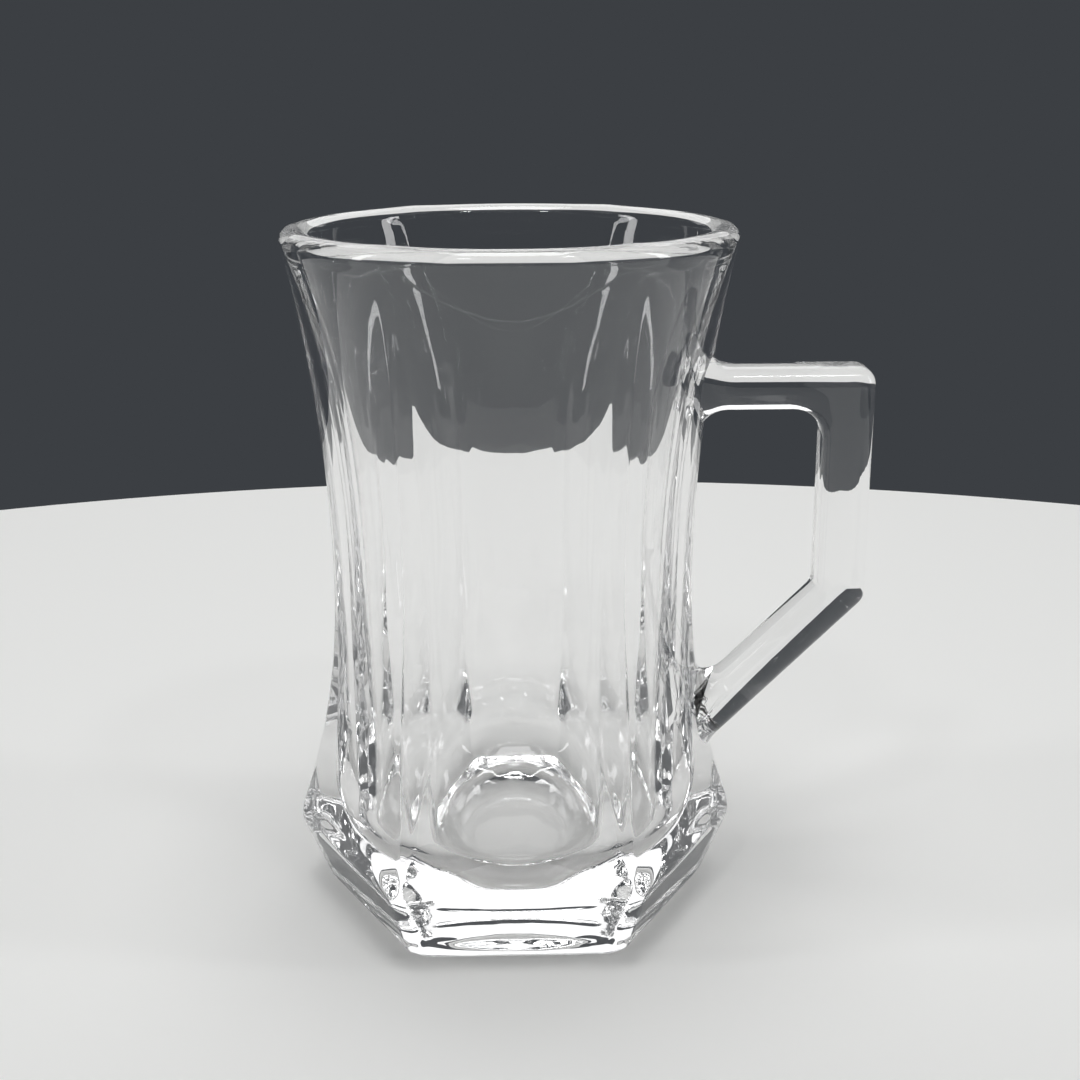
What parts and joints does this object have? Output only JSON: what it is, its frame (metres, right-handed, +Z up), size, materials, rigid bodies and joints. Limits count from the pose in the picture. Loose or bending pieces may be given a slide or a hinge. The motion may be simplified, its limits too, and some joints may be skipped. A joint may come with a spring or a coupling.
{
  "type": "glass mug",
  "caption": "Clear pressed glass tea mug with a waisted panelled body on a hexagonal foot and an angular handle with a slanted lower bar.",
  "frame": {"origin": "on the mug's axis, level with the surface that it stands on", "axes": "+Z up along the mug's axis, +X towards the handle, with a flat panel of the body facing -Y"},
  "size_m": [0.0885, 0.0664, 0.105],
  "materials": {
    "body_glass": "clear colourless pressed soda-lime glass, fire-polished",
    "handle_glass": "clear colourless pressed soda-lime glass, fire-polished"
  },
  "bodies": {
    "root": {"body": "body_glass", "handle": "handle_glass"}
  },
  "joints": []
}
